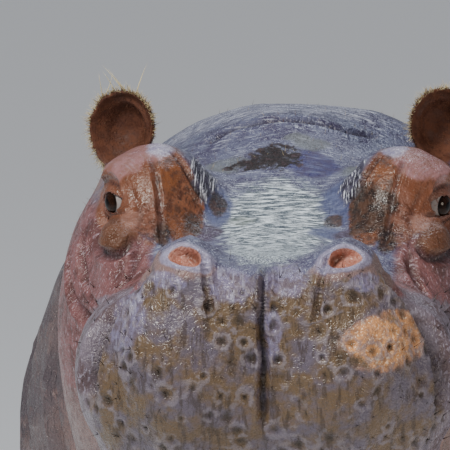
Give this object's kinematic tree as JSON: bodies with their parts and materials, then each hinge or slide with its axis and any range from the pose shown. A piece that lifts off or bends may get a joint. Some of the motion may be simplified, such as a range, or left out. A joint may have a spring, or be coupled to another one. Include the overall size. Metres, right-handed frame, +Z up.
{
  "type": "life-size hippopotamus model",
  "caption": "Life-size still model of a standing hippopotamus with its head raised and turned to its left, for display.",
  "frame": {"origin": "on the floor, under the middle of the model's bounding box", "axes": "+Z up, +Y from the head end towards the tail, +X towards the animal's left"},
  "size_m": [1.161, 2.8044, 1.5511],
  "materials": {
    "head_hide": "wet hide, brown and pink with violet grey",
    "body_hide": "damp hide, violet grey-brown",
    "ear_skin": "matte rust-brown skin",
    "eye": "wet gloss",
    "nail": "dull horn"
  },
  "bodies": {
    "root": {"head": "head_hide", "lower_jaw": "head_hide", "neck": "body_hide", "trunk": "body_hide", "tail": "body_hide", "foreleg_left": "body_hide", "foreleg_right": "body_hide", "hindleg_left": "body_hide", "hindleg_right": "body_hide", "forefoot_left": "body_hide", "forefoot_right": "body_hide", "hindfoot_left": "body_hide", "hindfoot_right": "body_hide", "ear_left": "ear_skin", "ear_right": "ear_skin", "eye_left": "eye", "eye_right": "eye", "nail_fore_left_1": "nail", "nail_fore_left_2": "nail", "nail_fore_left_3": "nail", "nail_fore_left_4": "nail", "nail_fore_right_1": "nail", "nail_fore_right_2": "nail", "nail_fore_right_3": "nail", "nail_fore_right_4": "nail", "nail_hind_left_1": "nail", "nail_hind_left_2": "nail", "nail_hind_left_3": "nail", "nail_hind_left_4": "nail", "nail_hind_right_1": "nail", "nail_hind_right_2": "nail", "nail_hind_right_3": "nail", "nail_hind_right_4": "nail"}
  },
  "joints": []
}
